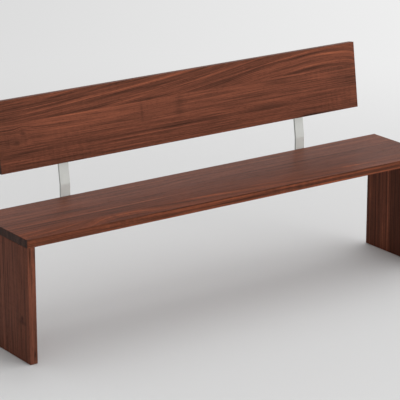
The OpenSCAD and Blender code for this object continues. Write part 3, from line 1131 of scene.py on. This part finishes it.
class BENCH_OT_brackets(bpy.types.Operator):
    """Bend the angle brackets and drill them"""

    bl_idname = "bench.brackets"
    bl_label = "Brackets"

    def execute(self, context):
        steel, fastener = context.scene.bench_steel, context.scene.bench_fasteners
        low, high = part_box("right_bracket")
        reach = steel.plate + steel.plate_bend
        rim = (low.x, (low.y + high.y) / 2, high.z - steel.plate / 2)
        piece = strip_end("bracket", high.y - low.y, steel.plate, (QUARTER_TURN, 0, QUARTER_TURN), rim)
        extrude((high.x - low.x - reach, 0, 0))
        bend(QUARTER_TURN, (high.x - reach, 0, high.z - reach), (0, 1, 0), steps=8)
        extrude((0, 0, -(high.z - low.z - reach)))

        def end_corner(edge):
            ends = [vertex.co for vertex in edge.verts]
            at_seat = all(abs(point.x - low.x) < NEAR for point in ends)
            at_leg = all(abs(point.z - low.z) < NEAR for point in ends)
            return (at_seat or at_leg) and abs(ends[0].y - ends[1].y) < NEAR

        places = bracket_screw_places(fastener)
        hole = countersink(wood_kind(steel, fastener), fastener)
        work_strip(piece, end_corner, BRACKET_CORNER_STEPS, hole, places, steel)
        zinc = brushed_metal("zinc_plate", steel.zinc, roughness=0.45, turn=(0, 0, QUARTER_TURN))
        dress_pair(piece, "bracket", zinc, "bracket_steel")
        return {"FINISHED"}


class BENCH_OT_screws(bpy.types.Operator):
    """Set the countersunk screws in posts and brackets"""

    bl_idname = "bench.screws"
    bl_label = "Screws"

    def execute(self, context):
        steel, fastener = context.scene.bench_steel, context.scene.bench_fasteners
        bolt, spike = bolt_kind(steel, fastener), wood_kind(steel, fastener)
        bright = brushed_metal("screw_steel", steel.stainless, roughness=0.30)
        plated = brushed_metal("screw_zinc", steel.zinc, roughness=0.35)
        for node, kind, places, material in (
            ("foot_screws", bolt, seat_screw_places(), bright),
            ("back_screws", bolt, back_screw_places(steel), bright),
            ("bracket_screws", spike, bracket_screw_places(fastener), plated),
        ):
            set_of(screw(kind, fastener), "steel_" + node, places, material, "screw_steel", node)
        return {"FINISHED"}


class BENCH_OT_glides(bpy.types.Operator):
    """Let the glides into the legs, and give the hidden dowels and inserts their finish"""

    bl_idname = "bench.glides"
    bl_label = "Glides and hidden fasteners"

    def execute(self, context):
        steel, fastener = context.scene.bench_steel, context.scene.bench_fasteners
        low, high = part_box("floor_glides")
        radius = fastener.glide_radius
        columns = (low.x + radius, high.x - radius)
        rows = (low.y + radius, high.y - radius)
        places = [Matrix.Translation((x, y, 0)) for x in columns for y in rows]
        glide = cylinder("glide", radius, fastener.glide_head, fastener.glide_head / 2, sides=48)
        select(glide, "EDGE", lambda edge: all(vertex.co.z < NEAR for vertex in edge.verts))
        round_edges(fastener.glide_edge, steps=3)
        select(glide, "FACE", faces_up)
        bpy.ops.mesh.inset(thickness=radius - fastener.stem_radius)
        extrude((0, 0, fastener.stem_length))
        bpy.ops.object.mode_set(mode="OBJECT")
        plastic = speckled("glide_plastic", fastener.glide, roughness=0.5, scale=(900, 900, 900))
        set_of(glide, "plastic_floor_glides", places, plastic, "glide_plastic", "floor_glides")
        beech = speckled("beech", fastener.beech, roughness=0.6, scale=(700, 700, 60))
        brass = brushed_metal("turned_brass", steel.brass, roughness=0.3, turn=(0, QUARTER_TURN, 0))
        for node, material in (("leg_dowels", beech), ("seat_inserts", brass), ("back_inserts", brass)):
            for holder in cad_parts[node].material_slots:
                holder.material = material
        return {"FINISHED"}


# Stage

FLOOR_RADIUS = 13.0
COVE_RADIUS = 7.0
COVE_STEPS = 12
FLOOR_DROP = 0.2 * MM
PLAIN_FLOOR = 0.8  # how far from the bench the floor is plain paper, in metres
GLOWING_FLOOR = 3.9  # and where it is all glow
GLOW_REACH = 2.2  # where the glow's colour stops changing, to the left and right
TOUCHING = 4 * MM
WINDOW = (0.97, 0.15, 0)


def floor_paper(stage):
    """Pale studio paper: plain near the bench, where it takes the shadow, and a soft even glow far away.
    From below it isn't seen, and it lets light through to what stands on it, so that the underside shows."""
    material, nodes, surface = new_material("studio_paper")
    place = nodes.add("TexCoord").outputs["Object"]
    rays = nodes.add("LightPath").outputs
    cloud = nodes.noise(place, 1.0, scale=0.6)["Fac"]
    shaded = [part * 0.985 for part in stage.floor]
    nodes.feed(surface.inputs["Base Color"], nodes.ramp(cloud, ((0.2, shaded), (0.8, stage.floor))))
    surface.inputs["Roughness"].default_value = 0.85
    surface.inputs["Specular IOR Level"].default_value = 0.1

    # The glow's colour changes from left to right, and a little more so in what mirrors it
    sideways = nodes.vector_math("DOT_PRODUCT", place, (math.cos(stage.turn), -math.sin(stage.turn), 0))
    in_metal = nodes.span(sideways, -GLOW_REACH, GLOW_REACH, -0.22, 0.06)
    strength = nodes.times_plus(rays["Is Glossy Ray"], in_metal, 1.0)
    share = nodes.span(sideways, -GLOW_REACH, GLOW_REACH)
    far_colour = nodes.ramp(share, ((0, stage.far_left), (1, stage.far_right)))
    glow = nodes.add("Emission", {"Color": far_colour, "Strength": strength})
    part = nodes.parts(place)
    flat = nodes.add("CombineXYZ", {"X": part["X"], "Y": part["Y"]}).outputs[0]
    far = nodes.span(nodes.vector_math("LENGTH", flat), PLAIN_FLOOR, GLOWING_FLOOR)
    seen = nodes.math("MAXIMUM", rays["Is Glossy Ray"], rays["Is Transmission Ray"])
    seen = nodes.math("MAXIMUM", rays["Is Camera Ray"], seen)
    shown = nodes.add("MixShader", {0: nodes.times(far, seen), 1: surface.outputs[0], 2: glow.outputs[0]})

    below = nodes.times(nodes.add("NewGeometry").outputs["Backfacing"], rays["Is Camera Ray"])
    soft_rays = nodes.math("MAXIMUM", rays["Is Diffuse Ray"], rays["Is Shadow Ray"])
    touching = nodes.times(nodes.math("LESS_THAN", rays["Ray Length"], TOUCHING), soft_rays)
    clear = nodes.add("BsdfTransparent").outputs[0]
    opened = nodes.math("MAXIMUM", below, touching)
    open_below = nodes.add("MixShader", {0: opened, 1: shown.outputs[0], 2: clear})
    nodes.feed(material.node_tree.nodes["Material Output"].inputs["Surface"], open_below.outputs[0])
    return material


def lamp(name, place, aim, size, power, in_metal=True):
    """A soft rectangular lamp. in_metal: whether the metal mirrors it."""
    data = bpy.data.lights.new(name, "AREA")
    data.shape = "RECTANGLE"
    data.size, data.size_y = size
    data.energy = power
    holder = bpy.data.objects.new(name, data)
    bpy.context.scene.collection.objects.link(holder)
    holder.location = place
    holder.rotation_euler = (Vector(aim) - Vector(place)).to_track_quat("-Z", "Y").to_euler()
    holder.visible_glossy = in_metal


class BENCH_OT_stage(bpy.types.Operator):
    """Lay the pale floor and set the lamps and the camera"""

    bl_idname = "bench.stage"
    bl_label = "Floor, light and camera"

    def execute(self, context):
        stage = context.scene.bench_stage
        self.lay_floor(stage)
        self.light(context.scene, stage)
        lamp("top_lamp", place=(3.0, -0.3, 6.3), aim=(0, 0, 0.3), size=(5.5, 5.5), power=stage.top_power)
        lamp(
            "front_lamp", place=(2.5, -8.0, 1.6), aim=(0, 0, 0.6), size=(6.0, 2.0), power=stage.front_power,
            in_metal=False)
        self.set_camera(context.scene, stage)
        context.scene.view_settings.view_transform = "Standard"
        return {"FINISHED"}

    def lay_floor(self, stage):
        """A round floor that curves up all round into a cove."""
        deselect()
        bpy.ops.mesh.primitive_circle_add(vertices=128, radius=FLOOR_RADIUS, fill_type="NGON")
        floor = added("studio_floor")
        select(floor, "EDGE", lambda edge: edge.is_boundary)
        radius, height = FLOOR_RADIUS, 0.0
        for step in range(1, COVE_STEPS + 1):
            angle = QUARTER_TURN * step / COVE_STEPS
            wider = FLOOR_RADIUS + COVE_RADIUS * math.sin(angle)
            higher = COVE_RADIUS * (1 - math.cos(angle))
            bpy.ops.mesh.extrude_edges_move(TRANSFORM_OT_translate={"value": (0, 0, higher - height)})
            bpy.ops.transform.resize(value=(wider / radius, wider / radius, 1))
            radius, height = wider, higher
        bpy.ops.mesh.select_all(action="SELECT")
        bpy.ops.transform.translate(value=(0, 0, -FLOOR_DROP))
        bpy.ops.object.mode_set(mode="OBJECT")
        bpy.ops.object.shade_smooth_by_angle(angle=WOOD_SMOOTH)
        floor.data.materials.append(floor_paper(stage))

    def light(self, scene, stage):
        """An even white light, stronger from the window's side."""
        scene.world = bpy.data.worlds.new("studio")
        scene.world.use_nodes = True
        nodes = Nodes(scene.world.node_tree)
        air = scene.world.node_tree.nodes["Background"]
        air.inputs["Color"].default_value = (1.0, 1.0, 1.0, 1)
        window = nodes.vector_math("DOT_PRODUCT", nodes.add("TexCoord").outputs["Generated"], WINDOW)
        nodes.feed(air.inputs["Strength"], nodes.times_plus(window, stage.sky * stage.sky_lean, stage.sky))

    def set_camera(self, scene, stage):
        camera = bpy.data.cameras.new("view")
        camera.lens = stage.lens
        camera.sensor_width = 36
        camera.clip_end = 200
        holder = bpy.data.objects.new("view", camera)
        scene.collection.objects.link(holder)
        holder.location = stage.place
        holder.rotation_euler = (QUARTER_TURN - stage.pitch, 0, -stage.turn)
        scene.camera = holder


class BENCH_PT_panel(bpy.types.Panel):
    """Lists the bench's settings and the steps that build it"""

    bl_idname = "BENCH_PT_panel"
    bl_label = "Timber bench"
    bl_space_type = "VIEW_3D"
    bl_region_type = "UI"
    bl_category = "Bench"

    def draw(self, context):
        for name, kind in SETTINGS.items():
            box = self.layout.box()
            for setting in kind.__annotations__:
                box.prop(getattr(context.scene, name), setting)
        for step in STEPS:
            self.layout.operator(step.bl_idname)


SETTINGS = {
    "bench_wood": BenchWoodSettings,
    "bench_steel": BenchSteelSettings,
    "bench_fasteners": BenchFastenerSettings,
    "bench_stage": BenchStageSettings,
}
STEPS = (
    BENCH_OT_seat, BENCH_OT_legs, BENCH_OT_backrest, BENCH_OT_posts, BENCH_OT_brackets, BENCH_OT_screws,
    BENCH_OT_glides, BENCH_OT_stage,
)


def register():
    for kind in (*SETTINGS.values(), *STEPS, BENCH_PT_panel):
        bpy.utils.register_class(kind)
    for name, kind in SETTINGS.items():
        setattr(bpy.types.Scene, name, bpy.props.PointerProperty(type=kind))


def unregister():
    for name in SETTINGS:
        delattr(bpy.types.Scene, name)
    for kind in reversed((*SETTINGS.values(), *STEPS, BENCH_PT_panel)):
        bpy.utils.unregister_class(kind)


def main():
    register()
    for step in STEPS:
        area, name = step.bl_idname.split(".")
        getattr(getattr(bpy.ops, area), name)()


if __name__ == "__main__":
    main()
